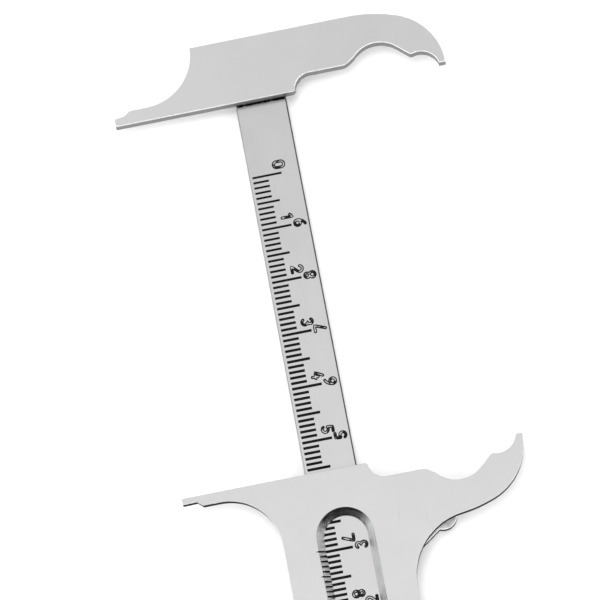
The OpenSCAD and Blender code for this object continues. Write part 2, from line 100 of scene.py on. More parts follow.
# The jaws: where their notches and hooks are along X, and how far they reach along Y
NOTCH_SPAN = (4.9 * MM, 18 * MM)
HOOK_SPAN = (18 * MM, 33 * MM)
JAW_BACK = 11 * MM
SLIDING_JAW_END = -83 * MM

# The slider's window: the middle line's place and ends, and the bevel's widths from it
WINDOW_MIDDLE = 0.5 * MM
WINDOW_ENDS = (-94.83 * MM, -82.17 * MM)
WINDOW_MOUTH = 5.2 * MM
WINDOW_THROAT = 3.95 * MM
WINDOW_LAND = 0.3 * MM
WINDOW_ROOM = WINDOW_MOUTH + 1.2 * MM

# Angles in degrees: what counts as flat, as an upright corner, and as an edge of the bevel,
# which is just under the angle between the bevel and the land below it
FLAT_ANGLE = 0.3
CORNER_ANGLE = 22
BEVEL_ANGLE = 30.4

# Undersides have soft edges off the beam, off the rails and off the screw holes, and at
# the measuring face and the back plate's two ends
OFF_BEAM = 8 * MM
OFF_RAILS = 11.2 * MM
OFF_HOLES = 9.5 * MM
FACE_MARGIN = 0.6 * MM
END_MARGIN = 0.3 * MM

# An edge this near to a level counts as on it, and a face this far from it as off it
ON_LEVEL = 0.01 * MM
OFF_LEVEL = 0.02 * MM

# Steps of a stroke's round end
END_STEPS = 5

# Finishes and painted shade that aren't settings
# Near-black painted contact shadow along the seam where the head stands on the beam
SEAM_SHADOW_PAINT = (0.004, 0.004, 0.004, 1)
# Near-black painted shade at the foot of the window's right flank
BEVEL_SHADE_PAINT = (0.02, 0.02, 0.02, 1)
# Specular tints of the sides in painted shade; a low one keeps a side dark seen along its face
DARK_SLANT = 0.02
CHAMFER_SLANT = 0.4
HEAD_SLANT = 0.9
PLATE_GRAIN = (300, 3800, 300)

# The picture
FLOOR_MIDDLE = (0.02, -0.07, FLOOR_LEVEL)
LAMP_PLACE = (-0.02, 0.03, 0.64)
LAMP_AIM = (0, -0.06, 0)
CAMERA_PLACE = (0.01572, -0.14519, 0.48062)
CAMERA_TURN = (0.209, 0.072, -0.184)
SENSOR_WIDTH = 36


# Settings

def colour(name, description, value):
    """A colour that the user can change, in linear light"""
    return bpy.props.FloatVectorProperty(
        name=name, description=description, subtype="COLOR", size=3,
        min=0, max=1, default=value)


def length(name, description, value, low=0.0, high=1.0):
    """A length that the user can change, in metres"""
    return bpy.props.FloatProperty(
        name=name, description=description, default=value, min=low, max=high,
        unit="LENGTH", subtype="DISTANCE", precision=5)


def share(name, description, value, low=0.0, high=1.0):
    """A plain number that the user can change"""
    return bpy.props.FloatProperty(
        name=name, description=description, default=value, min=low, max=high,
        subtype="FACTOR")


class GaugeFinish(bpy.types.PropertyGroup):
    """Colours and finish of the steel pieces, with the tints of their painted light and shade"""
    jaw: colour("Head", "Steel of the head that carries the fixed jaws", (0.76, 0.76, 0.76))
    beam: colour("Beam", "Steel of the graduated beam", (0.69, 0.69, 0.69))
    slider: colour("Slider", "Steel of the slider's front plate", (0.71, 0.71, 0.71))
    plain: colour("Hidden steel", "Steel of the back plate and the rails", (0.56, 0.56, 0.565))
    # Painted light: the lever's steel is made brighter to offset the slider plate's shadow on it
    lever: colour("Lever", "Steel of the thumb lever", (0.80, 0.80, 0.80))
    # Painted shade on the lever's sides, darker than its face
    lever_side: colour("Lever sides", "Steel on the milled sides of the lever", (0.12, 0.12, 0.12))
    screw: colour("Screws", "Steel of the screws and pins", (0.50, 0.50, 0.51))
    spring: colour("Springs", "Tempered steel of the two springs", (0.42, 0.38, 0.34))
    # Painted shade on the sides of the head and the slider, darker than their faces
    head_side: colour("Head sides", "Steel on the milled sides of the head", (0.16, 0.16, 0.16))
    slider_side: colour("Slider sides", "Steel on the slider's milled sides", (0.12, 0.12, 0.12))
    # Painted light and shade on the beam's chamfers: the left one lighter, the right one much
    # darker
    beam_left: colour("Beam's left edge", "Steel along the beam's left edge", (0.40, 0.40, 0.40))
    beam_right: colour("Beam's right edge", "Steel along the beam's right edge", (0.10, 0.10, 0.10))
    # Painted shade on the beam's upright sides
    beam_side: colour("Beam sides", "Steel on the beam's upright sides", (0.45, 0.45, 0.45))
    # Painted light and shade of the window's bevel: a light tint for the flanks and a dark one for
    # the ends
    turned: colour("Turned bevel", "Steel on the window's straight bevels", (0.95, 0.95, 0.95))
    turned_end: colour("Turned ends", "Steel round the window's ends", (0.10, 0.10, 0.10))
    filling: colour("Filling", "Black filling in the lines and numbers", (0.003, 0.003, 0.003))
    # Colour of the painted highlight along the middle of the numbers' lines
    worn: colour("Worn middle", "Steel that shows in the middle of the numbers", (0.56, 0.56, 0.56))
    mark_narrow: length("Narrow marks", "Width of the filling at the first marks", 0.40 * MM)
    mark_wide: length("Wide marks", "Width of the filling further down the beam", 0.50 * MM)
    edge: length("Edge", "Radius of the softened edges", 0.15 * MM, 0, 0.4 * MM)
    small_edge: length("Small edge", "Edge radius of the small pieces", 0.05 * MM, 0, 0.2 * MM)
    slider_edge: length("Slider edge", "Edge radius of the slider's plate", 0.09 * MM, 0, 0.4 * MM)
    corner: length("Corner", "Radius of the upright corners at the beaks", 0.35 * MM, 0, 0.8 * MM)
    notch_corner: length("Notch corner", "Radius of the corners at the notch", 0.7 * MM, 0, 1 * MM)
    satin: share("Satin", "Roughness of the clean steel faces", 0.22)


class GaugeNumbers(bpy.types.PropertyGroup):
    """Numbers beside the centimetre lines"""
    height: length("Height", "Height between the middles of the strokes", 1.9 * MM)
    width: length("Width", "Width between the middles of the strokes", 1.12 * MM)
    stroke: length("Stroke", "Width of the engraved line", 0.60 * MM)
    # The core is a strip along each line that carries a painted highlight
    core: length("Core", "Width of the worn strip along each line", 0.20 * MM)
    proud: length("Filling height", "How far the filling stands above the steel", 0.02 * MM)
    core_proud: length("Core height", "How far the worn strip stands above the steel", 0.026 * MM)
    rising_x: length("Rising row", "Place of the rising numbers across the beam", 0.83 * MM)
    rising_y: length("Rising offset", "How far the rising numbers are above their line", 1.66 * MM)
    zero_shift: length("Zero shift", "How much further across the first zero stands", 0.25 * MM)
    falling_x: length("Falling row", "Place of the falling numbers across the beam", 2.93 * MM)
    falling_y: length("Falling offset", "How far the falling ones are above their line", 0.15 * MM)
    pitch: length("Pitch", "Distance between the two figures of a number", 1.55 * MM)


class GaugeStage(bpy.types.PropertyGroup):
    """Floor, light and camera"""
    floor: colour("Floor", "Colour of the floor", (0.90, 0.90, 0.90))
    floor_glow: share("Floor glow", "How much paler the floor shows", 0.10)
    floor_size: length("Floor size", "Length of each side of the floor", 3.0, 0.5, 10)
    sky: share("Sky", "Strength of the soft light overhead", 1.05, 0, 2)
    sky_fall: share("Sky fall", "How much weaker it is towards the head's side", 0.16)
    corner_fall: share("Corner fall", "How much weaker it is towards the head's hook", 0.40)
    middle: share("Middle", "Strength of the light half way up", 0.9, 0, 2)
    sides: share("Sides", "Strength of the light low on both sides", 0.9, 0, 2)
    front: share("Front", "Strength of the light low on the tail's side", 0.10, 0, 2)
    back: share("Back", "Strength of the light low on the head's side", 0.60, 0, 2)
    ring: share("Ring", "Strength of the ring of light that edges the plates", 3.5, 0, 8)
    lamp: bpy.props.FloatProperty(
        name="Lamp", description="Power of the soft lamp on the floor", default=1.75, min=0, max=50,
        unit="POWER")
    lamp_size: length("Lamp size", "Width of the soft lamp", 0.22, 0.05, 2)
    lens: bpy.props.FloatProperty(
        name="Lens", description="Focal length of the camera in millimetres",
        default=163.57, min=20, max=400)


# Selecting and shaping

def only(*pieces):
    """Leaves just these pieces selected, with the first one active"""
    bpy.ops.object.select_all(action="DESELECT")
    for piece in pieces:
        piece.select_set(True)
    bpy.context.view_layer.objects.active = pieces[0]


def edit(mode="FACE"):
    """Opens the active piece for editing with nothing selected"""
    bpy.ops.object.mode_set(mode="EDIT")
    bpy.ops.mesh.select_mode(type=mode)
    bpy.ops.mesh.select_all(action="DESELECT")


def close():
    """Leaves edit mode"""
    bpy.ops.object.mode_set(mode="OBJECT")


def within(value, span):
    """Whether a value is between the two of a span"""
    return span[0] < value < span[1]


def pick_faces(piece, wanted):
    """Selects the faces for which wanted(centre, normal) holds, and returns how many"""
    close()
    found = 0
    for face in piece.data.polygons:
        face.select = bool(wanted(face.center, face.normal))
        found += face.select
    bpy.ops.object.mode_set(mode="EDIT")
    return found


def pick_edges(piece, wanted, upright=False):
    """Keeps those of the selected edges for which wanted(middle) holds, and returns how many"""
    close()
    points = piece.data.vertices
    for face in piece.data.polygons:
        face.select = False
    found = 0
    for line in piece.data.edges:
        if line.select:
            first, second = (points[i].co for i in line.vertices)
            lean = abs(first.x - second.x) + abs(first.y - second.y)
            line.select = bool(wanted((first + second) / 2)) and not (upright and lean > SPECK)
            found += line.select
    bpy.ops.object.mode_set(mode="EDIT")
    return found


def merged_copy(node, name, joined=lambda centre, normal: True):
    """A copy of a CAD node with its loose triangles merged, ready to be shaped.

    The flat faces for which joined(centre, normal) holds are made whole.
    """
    only(frame["nodes"][node])
    bpy.ops.object.duplicate()
    piece = bpy.context.view_layer.objects.active
    piece.name = piece.data.name = name
    piece.parent = None
    del piece["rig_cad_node"], piece["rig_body"]
    piece.data.materials.clear()
    edit()
    bpy.ops.mesh.select_all(action="SELECT")
    bpy.ops.mesh.remove_doubles(threshold=SPECK / 2)
    pick_faces(piece, joined)
    bpy.ops.mesh.dissolve_limited(angle_limit=radians(FLAT_ANGLE))
    close()
    return piece


def soften(piece, radius, wanted=lambda middle: True, steps=3, sharp=30, held=True):
    """Rounds the sharp edges for which wanted(middle) holds.

    A held radius is made smaller where short edges would leave no room for it.
    """
    only(piece)
    edit("EDGE")
    bpy.ops.mesh.edges_select_sharp(sharpness=radians(sharp))
    if not pick_edges(piece, wanted):
        raise RuntimeError(f"{piece.name} has no edge to soften")
    bpy.ops.mesh.bevel(offset=radius, offset_type="OFFSET", segments=steps, profile=0.5,
                       affect="EDGES", clamp_overlap=held)
    close()


def round_corners(piece, radius, wanted):
    """Rounds the upright corners for which wanted(middle) holds"""
    only(piece)
    edit("EDGE")
    bpy.ops.mesh.edges_select_sharp(sharpness=radians(CORNER_ANGLE))
    if not pick_edges(piece, wanted, upright=True):
        raise RuntimeError(f"{piece.name} has no corner to round")
    bpy.ops.mesh.bevel(offset=radius, offset_type="OFFSET", segments=5, profile=0.5,
                       affect="EDGES", clamp_overlap=False)
    close()


def smooth(piece, angle=40):
    """Shades the rounds smoothly and keeps the flat faces flat"""
    only(piece)
    bpy.ops.object.shade_smooth_by_angle(angle=radians(angle))
    bpy.ops.object.modifier_add(type="WEIGHTED_NORMAL")
    flatten = piece.modifiers[-1]
    flatten.keep_sharp = True
    flatten.weight = 100
    bpy.ops.object.modifier_apply(modifier=flatten.name)


def second_finish(piece, wanted, index):
    """Gives the faces for which wanted(centre, normal) holds another material slot"""
    only(piece)
    edit()
    if not pick_faces(piece, wanted):
        raise RuntimeError(f"{piece.name} has no face for its finish {index}")
    piece.active_material_index = index
    bpy.ops.object.material_slot_assign()
    close()


# Materials

def new_material(name):
    """A material with its node tree and its shader"""
    material = bpy.data.materials.new(name)
    material.use_nodes = True
    return material, material.node_tree, material.node_tree.nodes["Principled BSDF"]


def plug(tree, node, name, value):
    """Links or sets one input of a node"""
    socket = node.inputs[name]
    if isinstance(value, bpy.types.NodeSocket):
        tree.links.new(value, socket)
    else:
        socket.default_value = value


def step(tree, kind, inputs=None, **settings):
    """Adds a node, with its inputs linked or set"""
    node = tree.nodes.new(kind)
    for key, value in settings.items():
        setattr(node, key, value)
    for key, value in (inputs or {}).items():
        plug(tree, node, key, value)
    return node


def object_place(tree):
    """The place on the piece that a material is read at, in metres"""
    return step(tree, "ShaderNodeTexCoord").outputs["Object"]


def grey(tree, value):
    """A colour with three equal parts"""
    return step(tree, "ShaderNodeCombineColor", {0: value, 1: value, 2: value}).outputs[0]


def bump(tree, height, strength, distance):
    """The normal of a surface with a fine relief"""
    return step(tree, "ShaderNodeBump", {
        "Height": height, "Strength": strength, "Distance": distance}).outputs[0]


def sums(tree, operation, first, second=0.0):
    """The result of one Math node"""
    node = step(tree, "ShaderNodeMath", {0: first, 1: second}, operation=operation)
    return node.outputs[0]


def times(tree, first, second):
    """The product of two values"""
    return sums(tree, "MULTIPLY", first, second)


def between(tree, value, low, high, to_low=0.0, to_high=1.0):
    """A value moved from one range to another, and held inside it"""
    node = step(tree, "ShaderNodeMapRange", {
        "Value": value, "From Min": low, "From Max": high, "To Min": to_low, "To Max": to_high})
    return node.outputs["Result"]


def mixed(tree, share_of, first, second, blend="MIX"):
    """Two colours mixed"""
    node = step(tree, "ShaderNodeMix", data_type="RGBA", blend_type=blend)
    plug(tree, node, 0, share_of)
    plug(tree, node, 6, first)
    plug(tree, node, 7, second)
    return node.outputs[2]


def new_group(name, inputs, outputs):
    """An empty node group with named sockets, and its two end nodes"""
    tree = bpy.data.node_groups.new(name, "ShaderNodeTree")
    for title, kind, value in inputs:
        socket = tree.interface.new_socket(title, in_out="INPUT", socket_type="NodeSocket" + kind)
        if value is not None:
            socket.default_value = value
    for title, kind in outputs:
        tree.interface.new_socket(title, in_out="OUTPUT", socket_type="NodeSocket" + kind)
    return tree, tree.nodes.new("NodeGroupInput").outputs, tree.nodes.new("NodeGroupOutput")


def grain_group():
    """Fine drawn grain, longer along one axis than across it"""
    tree, given, result = new_group(
        "Drawn Grain",
        [("Vector", "Vector", None), ("Lines per Metre", "Vector", (4000, 60, 400)),
         ("Depth", "Float", 1.0)],
        [("Height", "Float"), ("Tone", "Float")])
    place = step(tree, "ShaderNodeMapping", {
        "Vector": given["Vector"], "Scale": given["Lines per Metre"]})
    lines = step(tree, "ShaderNodeTexNoise", {
        "Vector": place.outputs[0], "Scale": 1.0, "Detail": 3.0, "Roughness": 0.6})
    plug(tree, result, "Height", times(tree, lines.outputs[0], given["Depth"]))
    centred = sums(tree, "SUBTRACT", lines.outputs[0], 0.5)
    plug(tree, result, "Tone", times(tree, centred, given["Depth"]))
    return tree


def handling_group():
    """Faint clouds of handling and polish, and a few fine scratches"""
    tree, given, result = new_group(
        "Handling",
        [("Vector", "Vector", None), ("Cloud Size", "Float", 0.006), ("Seed", "Float", 0.0)],
        [("Clouds", "Float"), ("Scratches", "Float")])
    place = step(tree, "ShaderNodeVectorMath", {0: given["Vector"], 1: given["Seed"]},
                 operation="ADD")
    scale = sums(tree, "DIVIDE", 1.0, given["Cloud Size"])
    clouds = step(tree, "ShaderNodeTexNoise", {
        "Vector": place.outputs[0], "Scale": scale, "Detail": 4.0, "Roughness": 0.55,
        "Distortion": 0.6})
    plug(tree, result, "Clouds", between(tree, clouds.outputs[0], 0.3, 0.7))
    total = None
    for turn, along in ((28, 110), (-47, 90), (81, 140)):
        turned = step(tree, "ShaderNodeMapping", {
            "Vector": place.outputs[0], "Rotation": (0, 0, radians(turn)),
            "Scale": (6000, along, 600)})
        hair = step(tree, "ShaderNodeTexNoise", {
            "Vector": turned.outputs[0], "Scale": 1.0, "Detail": 1.0, "Roughness": 0.4})
        mark = between(tree, hair.outputs[0], 0.76, 0.80)
        total = mark if total is None else sums(tree, "MAXIMUM", total, mark)
    plug(tree, result, "Scratches", total)
    return tree


def edge_group():
    """A mask of the rounded edges in patches, where the steel is made smoother and painted brighter
    as a highlight
    """
    tree, given, result = new_group(
        "Rubbed Edges With Painted Highlight", [("Vector", "Vector", None), ("Steepest", "Float", 0.15)],
        [("Mask", "Float")])
    facing = step(tree, "ShaderNodeTexCoord").outputs["Normal"]
    upright = sums(tree, "ABSOLUTE",
                   step(tree, "ShaderNodeSeparateXYZ", {0: facing}).outputs["Z"])
    tilted = between(tree, upright, 0.99, 0.96)
    not_side = between(tree, upright, given["Steepest"],
                       sums(tree, "ADD", given["Steepest"], 0.15))
    patches = step(tree, "ShaderNodeTexNoise", {
        "Vector": given["Vector"], "Scale": 900.0, "Detail": 2.0})
    broken = between(tree, patches.outputs[0], 0.35, 0.6, 0.7, 1.0)
    plug(tree, result, "Mask", times(tree, broken, times(tree, tilted, not_side)))
    return tree


def groups():
    """The node groups, built once"""
    makers = {"Drawn Grain": grain_group, "Handling": handling_group,
              "Rubbed Edges With Painted Highlight": edge_group}
    return {name: bpy.data.node_groups.get(name) or make() for name, make in makers.items()}


def use(tree, name, inputs):
    """One of the node groups placed in a material"""
    node = tree.nodes.new("ShaderNodeGroup")
    node.node_tree = groups()[name]
    for key, value in inputs.items():
        plug(tree, node, key, value)
    return node.outputs


def steel(name, face, rough, grain, cloud, seed, contrast=0.10, rub_and_highlight=0.5, highlight_gain=1.25,
          depth=0.004 * MM, seam=None):
    """A steel with drawn grain, faint clouds, and rounded edges that carry a painted highlight.

    A seam is the place along Y of a joint, beside which a painted contact shadow darkens the
    steel's face in a ragged near-black strip.
    """
    material, tree, shader = new_material(name)
    place = object_place(tree)
    lines = use(tree, "Drawn Grain", {"Vector": place, "Lines per Metre": grain})
    hands = use(tree, "Handling", {"Vector": place, "Cloud Size": cloud, "Seed": seed})
    # Mask of the rounded edges that carry the painted highlight and a lower roughness
    worn = use(tree, "Rubbed Edges With Painted Highlight", {"Vector": place})
    cloudy = between(tree, hands["Clouds"], 0, 1, 1 - contrast, 1 + contrast * 0.4)
    lined = sums(tree, "ADD", cloudy, times(tree, lines["Tone"], contrast))
    toned = mixed(tree, 1.0, (*face, 1), grey(tree, lined), "MULTIPLY")
    # Painted highlight: the rounded edges are mixed toward a brighter copy of the steel
    bright = tuple(min(1.0, c * highlight_gain) for c in face)
    rubbed = mixed(tree, times(tree, worn["Mask"], rub_and_highlight), toned, (*bright, 1))
    scored = mixed(tree, times(tree, hands["Scratches"], 0.25), rubbed,
                   (*(c * 0.7 for c in face), 1))
    # Painted contact shadow: a ragged near-black strip on the beam's face just in front of the seam
    if seam is not None:
        spot = step(tree, "ShaderNodeSeparateXYZ", {0: place}).outputs
        specks = step(tree, "ShaderNodeTexNoise", {
            "Vector": place, "Scale": 1500.0, "Detail": 3.0}).outputs[0]
        ragged = sums(tree, "ADD", spot["Y"], between(
            tree, specks, 0.3, 0.7, -0.12 * MM, 0.12 * MM))
        before = between(tree, ragged, seam - 0.40 * MM, seam - 0.22 * MM)
        on_face = between(tree, spot["Z"], BEAM_FACE - 0.3 * MM, BEAM_FACE - 0.1 * MM)
        after = between(tree, spot["Y"], seam + 0.8 * MM, seam + 0.4 * MM)
        painted_shade_mask = times(tree, on_face, times(tree, before, after))
        scored = mixed(tree, painted_shade_mask, scored, SEAM_SHADOW_PAINT)
    plug(tree, shader, "Base Color", scored)
    base = between(tree, hands["Clouds"], 0, 1, rough - 0.01, rough + 0.02)
    plug(tree, shader, "Roughness", sums(tree, "SUBTRACT", base, times(tree, worn["Mask"], 0.08)))
    shader.inputs["Metallic"].default_value = 1.0
    height = sums(tree, "SUBTRACT", lines["Height"], times(tree, hands["Scratches"], 0.6))
    plug(tree, shader, "Normal", bump(tree, height, 0.35, depth))
    return material


def side_steel(name, left, right, slant):
    """Milled steel of an upright side, darkened as painted shade, from its tint on the left to its
    tint on the right.

    A low slant keeps the side dark where it is seen along its face, as from above.
    """
    material, tree, shader = new_material(name)
    place = object_place(tree)
    lines = use(tree, "Drawn Grain", {"Vector": place, "Lines per Metre": (700, 700, 9000)})
    across = step(tree, "ShaderNodeSeparateXYZ", {0: place}).outputs["X"]
    # Tint from left to right across the piece; on the beam's chamfers this paints the left lighter
    # and the right darker
    tint = mixed(tree, between(tree, across, -4 * MM, 4 * MM), (*left, 1), (*right, 1))
    light = grey(tree, between(tree, lines["Tone"], -0.3, 0.3, 0.75, 1.25))
    plug(tree, shader, "Base Color", mixed(tree, 1.0, tint, light, "MULTIPLY"))
    plug(tree, shader, "Roughness", between(tree, lines["Tone"], -0.3, 0.3, 0.42, 0.30))
    shader.inputs["Metallic"].default_value = 1.0
    shader.inputs["Specular Tint"].default_value = (slant, slant, slant, 1)
    plug(tree, shader, "Normal", bump(tree, lines["Height"], 0.4, 0.006 * MM))
    return material


def turned_steel(name, tint, dark):
    """Steel turned by a cutter, with painted light and shade: a light copy along the straight
    flanks and a dark copy round the ends, where the cutter's streaks show
    """
    material, tree, shader = new_material(name)
    place, normal = object_place(tree), step(tree, "ShaderNodeTexCoord").outputs["Normal"]
    rings = use(tree, "Drawn Grain", {"Vector": place, "Lines per Metre": (250, 250, 3600)})
    fine = use(tree, "Drawn Grain", {
        "Vector": place, "Lines per Metre": (900, 900, 14000), "Depth": 0.6})
    both = sums(tree, "ADD", rings["Tone"], fine["Tone"])
    facing = step(tree, "ShaderNodeSeparateXYZ", {0: normal}).outputs
    # Painted light and shade by facing: faces turned along Y take the dark tint, and faces turned
    # along X the light one
    end = between(tree, sums(tree, "ABSOLUTE", facing["Y"]), 0.22, 0.62)
    light = grey(tree, between(tree, both, -0.22, 0.30, 0.8, 1.2))
    streaked = mixed(tree, between(tree, both, -0.12, 0.22),
                     (*(c * 0.3 for c in dark), 1), (*(c * 3 for c in dark), 1))
    toned = mixed(tree, end, mixed(tree, 1.0, (*tint, 1), light, "MULTIPLY"), streaked)
    # Painted shade: a dark line low on the window's flanks that face -X, at their foot
    level = step(tree, "ShaderNodeSeparateXYZ", {0: place}).outputs["Z"]
    low = between(tree, level, PLATE_FACE - 2.0 * MM, PLATE_FACE - 2.2 * MM)
    painted_shade_mask = times(tree, low, between(tree, facing["X"], -0.1, -0.4))
    plug(tree, shader, "Base Color", mixed(tree, painted_shade_mask, toned, BEVEL_SHADE_PAINT))
    plug(tree, shader, "Roughness", sums(tree, "SUBTRACT", 0.42, times(tree, end, 0.18)))
    shader.inputs["Metallic"].default_value = 1.0
    plug(tree, shader, "Normal", bump(tree, both, 0.6, 0.01 * MM))
    return material


def filling_paint(name, tint):
    """Hard black filling, slightly uneven, as wiped into an engraved line"""
    material, tree, shader = new_material(name)
    place = object_place(tree)
    specks = step(tree, "ShaderNodeTexNoise", {
        "Vector": place, "Scale": 4200.0, "Detail": 3.0, "Roughness": 0.6}).outputs[0]
    wiped = between(tree, specks, 0.45, 0.8)
    paler = tuple(min(1.0, c * 4 + 0.01) for c in tint)
    plug(tree, shader, "Base Color", mixed(tree, wiped, (*tint, 1), (*paler, 1)))
    plug(tree, shader, "Roughness", between(tree, specks, 0.3, 0.7, 0.5, 0.75))
    shader.inputs["Specular IOR Level"].default_value = 0.08
    plug(tree, shader, "Normal", bump(tree, specks, 0.5, 0.01 * MM))
    return material


def smear_marks(material, tint, narrow, wide):
    """Lets the filling run past the marks' edges, in lengths that are counted in marks"""
    tree = material.node_tree
    shader = tree.nodes["Principled BSDF"]
    place = object_place(tree)
    across, along, up = step(tree, "ShaderNodeSeparateXYZ", {0: place}).outputs
    below = sums(tree, "DIVIDE", sums(tree, "SUBTRACT", ZERO_MARK, along), MARK_PITCH)
    mark = sums(tree, "ROUND", below)
    off = sums(tree, "ABSOLUTE", sums(tree, "SUBTRACT", below, mark))

    def at_each(count):
        """One on each mark whose number can be divided by the count"""
        blocks = sums(tree, "DIVIDE", mark, count)
        rest = sums(tree, "ABSOLUTE", sums(tree, "SUBTRACT", blocks, sums(tree, "ROUND", blocks)))
        return sums(tree, "LESS_THAN", rest, 0.05)

    end = sums(tree, "ADD", MARKS_LEFT + MARK_SHORT,
               times(tree, at_each(5), MARK_MID - MARK_SHORT))
    end = sums(tree, "ADD", end, times(tree, at_each(10), MARK_LONG - MARK_MID))
    reach = between(tree, below, 5.0, 35.0, narrow / 2 / MARK_PITCH, wide / 2 / MARK_PITCH)
    wet = between(tree, sums(tree, "SUBTRACT", off, reach), -0.01, 0.01, 1.0, 0.0)
    half = SCALE_LENGTH / MARK_PITCH / 2
    from_half = sums(tree, "ABSOLUTE", sums(tree, "SUBTRACT", below, half))
    for limit in (sums(tree, "LESS_THAN", across, end),
                  sums(tree, "GREATER_THAN", across, MARKS_LEFT),
                  sums(tree, "GREATER_THAN", up, BEAM_FACE - 0.05 * MM),
                  sums(tree, "LESS_THAN", from_half, half + 0.4)):
        wet = times(tree, wet, limit)
    bare = shader.inputs["Base Color"].links[0].from_socket
    plug(tree, shader, "Base Color", mixed(tree, wet, bare, (*tint, 1)))


def worn_filling(name, tint, bare):
    """Filling with a painted highlight in the middle of a line: a pale steel colour shows here and
    there
    """
    material, tree, shader = new_material(name)
    place = object_place(tree)
    patches = step(tree, "ShaderNodeTexNoise", {
        "Vector": place, "Scale": 900.0, "Detail": 2.0, "Roughness": 0.5}).outputs[0]
    worn = between(tree, patches, 0.46, 0.58)
    plug(tree, shader, "Base Color", mixed(tree, worn, (*tint, 1), (*bare, 1)))
    plug(tree, shader, "Roughness", between(tree, patches, 0.3, 0.7, 0.6, 0.45))
    shader.inputs["Specular IOR Level"].default_value = 0.2
    return material


def finish(piece, *materials):
    """Puts the materials on a piece's slots"""
    piece.data.materials.clear()
    for material in materials:
        piece.data.materials.append(material)


# Numbers

def arc(middle_u, middle_v, radius, start, end, count=14):
    """Points on an arc, from one angle to another in degrees"""
    turn = (end - start) / count
    return [(middle_u + radius * cos(radians(start + turn * i)),
             middle_v + radius * sin(radians(start + turn * i))) for i in range(count + 1)]


def figure_strokes(figure, a, b):
    """The strokes of one upright figure that is 2a wide and 2b high round its middle.

    The small and the large radius are those of a figure's upper and lower bowl.
    """
    small, large = b * 0.46, b * 0.54
    tail = b * 1.64
    drawn = {
        "0": [arc(0, b - a, a, 0, 180) + arc(0, a - b, a, 180, 360) + [(a, b - a)]],
        "1": [[(-a * 0.62, b - a * 0.75), (a * 0.2, b), (a * 0.2, -b)]],
        "2": [arc(0, b - a * 0.95, a * 0.95, 165, -38) + [(-a, -b), (a, -b)]],
        "3": [arc(-a * 0.05, b - small, small, 150, -90)
              + arc(-a * 0.05, large - b, large, 90, -150)],
        "4": [[(a * 0.3, b), (-a, -b * 0.35), (a, -b * 0.35)],
              [(a * 0.42, b * 0.12), (a * 0.42, -b)]],
        "5": [[(a * 0.85, b), (-a * 0.62, b), (-a * 0.8, b * 0.12)]
              + arc(-a * 0.04, large * 1.04 - b, large * 1.04, 128, -145)],
        "6": [arc(0, large - b, large, 180, -180, 24),
              arc(tail - large, large - b, tail, 180, 117)],
        "7": [[(-a, b), (a, b), (-a * 0.35, -b)]],
        "8": [arc(0, b - small, small, -90, 270) + arc(0, large - b, large, 90, -270)[1:]],
    }
    drawn["9"] = [[(-u, -v) for u, v in stroke] for stroke in drawn["6"]]
    return drawn[figure]


def held_corners(points, reach):
    """The same line with a point beside each sharp corner, so that a tube is narrow only there"""
    made = [points[0]]
    for before, corner, after in zip(points, points[1:], points[2:]):
        spot = Vector(corner)
        inward, outward = spot - Vector(before), Vector(after) - spot
        if inward.angle(outward, 0.0) > radians(30):
            made += [tuple(spot - inward.normalized() * min(reach, inward.length * 0.4)),
                     corner,
                     tuple(spot + outward.normalized() * min(reach, outward.length * 0.4))]
        else:
            made.append(corner)
    return made + [points[-1]]


def round_end(end, neighbour, half):
    """Points with shrinking radii past the end of a line, the outermost first"""
    outward = (Vector(end) - Vector(neighbour)).normalized() * half
    parts = [1 - i / END_STEPS for i in range(END_STEPS)]
    return [(*(Vector(end) + outward * t), sqrt(1 - t * t)) for t in parts]


def rounded_stroke(points, half):
    """Points with radii that give a line two round ends"""
    made = [(u, v, 1.0) for u, v in points]
    if (Vector(points[0]) - Vector(points[-1])).length < half * 0.1:
        return made
    return (round_end(points[0], points[1], half) + made
            + round_end(points[-1], points[-2], half)[::-1])


def figure_tube(figure, settings, half, proud):
    """The lines of one upright figure as a low mesh, with its middle at the origin"""
    bpy.ops.curve.primitive_bezier_curve_add()
    drawn = bpy.context.view_layer.objects.active
    drawn.data.splines.clear()
    drawn.data.dimensions = "3D"
    for stroke in figure_strokes(figure, settings.width / 2, settings.height / 2):
        points = rounded_stroke(held_corners(stroke, half), half)
        line = drawn.data.splines.new("POLY")
        line.points.add(len(points) - 1)
        for point, (u, v, radius) in zip(line.points, points):
            point.co = (u, v, 0, 1)
            point.radius = radius
    drawn.data.bevel_depth = half
    drawn.data.bevel_resolution = 2
    bpy.ops.object.convert(target="MESH")
    edit("VERT")
    bpy.ops.mesh.select_all(action="SELECT")
    bpy.ops.mesh.remove_doubles(threshold=half * 0.02)
    bpy.ops.mesh.normals_make_consistent(inside=False)
    bpy.ops.transform.resize(value=(1, 1, proud / half))
    close()
    return drawn


def figure_piece(figure, settings):
    """One upright figure: lines of filling with a raised strip along their middle that carries a
    painted highlight in patches
    """
    filled = figure_tube(figure, settings, settings.stroke / 2, settings.proud)
    finish(filled, bpy.data.materials["Line Filling"])
    # The core strip carries the painted highlight
    worn = figure_tube(figure, settings, settings.core / 2, settings.core_proud)
    finish(worn, bpy.data.materials["Filling With Painted Highlight"])
    only(filled, worn)
    bpy.ops.object.join()
    return filled


# Floor and light

def floor_paper(name, tint, strength):
    """A matt paper that seems to glow to the camera and in mirrors, but lights nothing"""
    material, tree, shader = new_material(name)
    shader.inputs["Base Color"].default_value = (*tint, 1)
    shader.inputs["Roughness"].default_value = 0.9
    shader.inputs["Specular IOR Level"].default_value = 0.1
    rays = step(tree, "ShaderNodeLightPath").outputs
    seen = sums(tree, "MAXIMUM", rays["Is Camera Ray"],
                sums(tree, "MAXIMUM", rays["Is Glossy Ray"], rays["Is Transmission Ray"]))
    glow = step(tree, "ShaderNodeEmission", {
        "Color": (1, 1, 1, 1), "Strength": times(tree, seen, strength)})
    both = step(tree, "ShaderNodeAddShader", {0: shader.outputs[0], 1: glow.outputs[0]})
    tree.links.new(both.outputs[0], tree.nodes["Material Output"].inputs["Surface"])
    return material


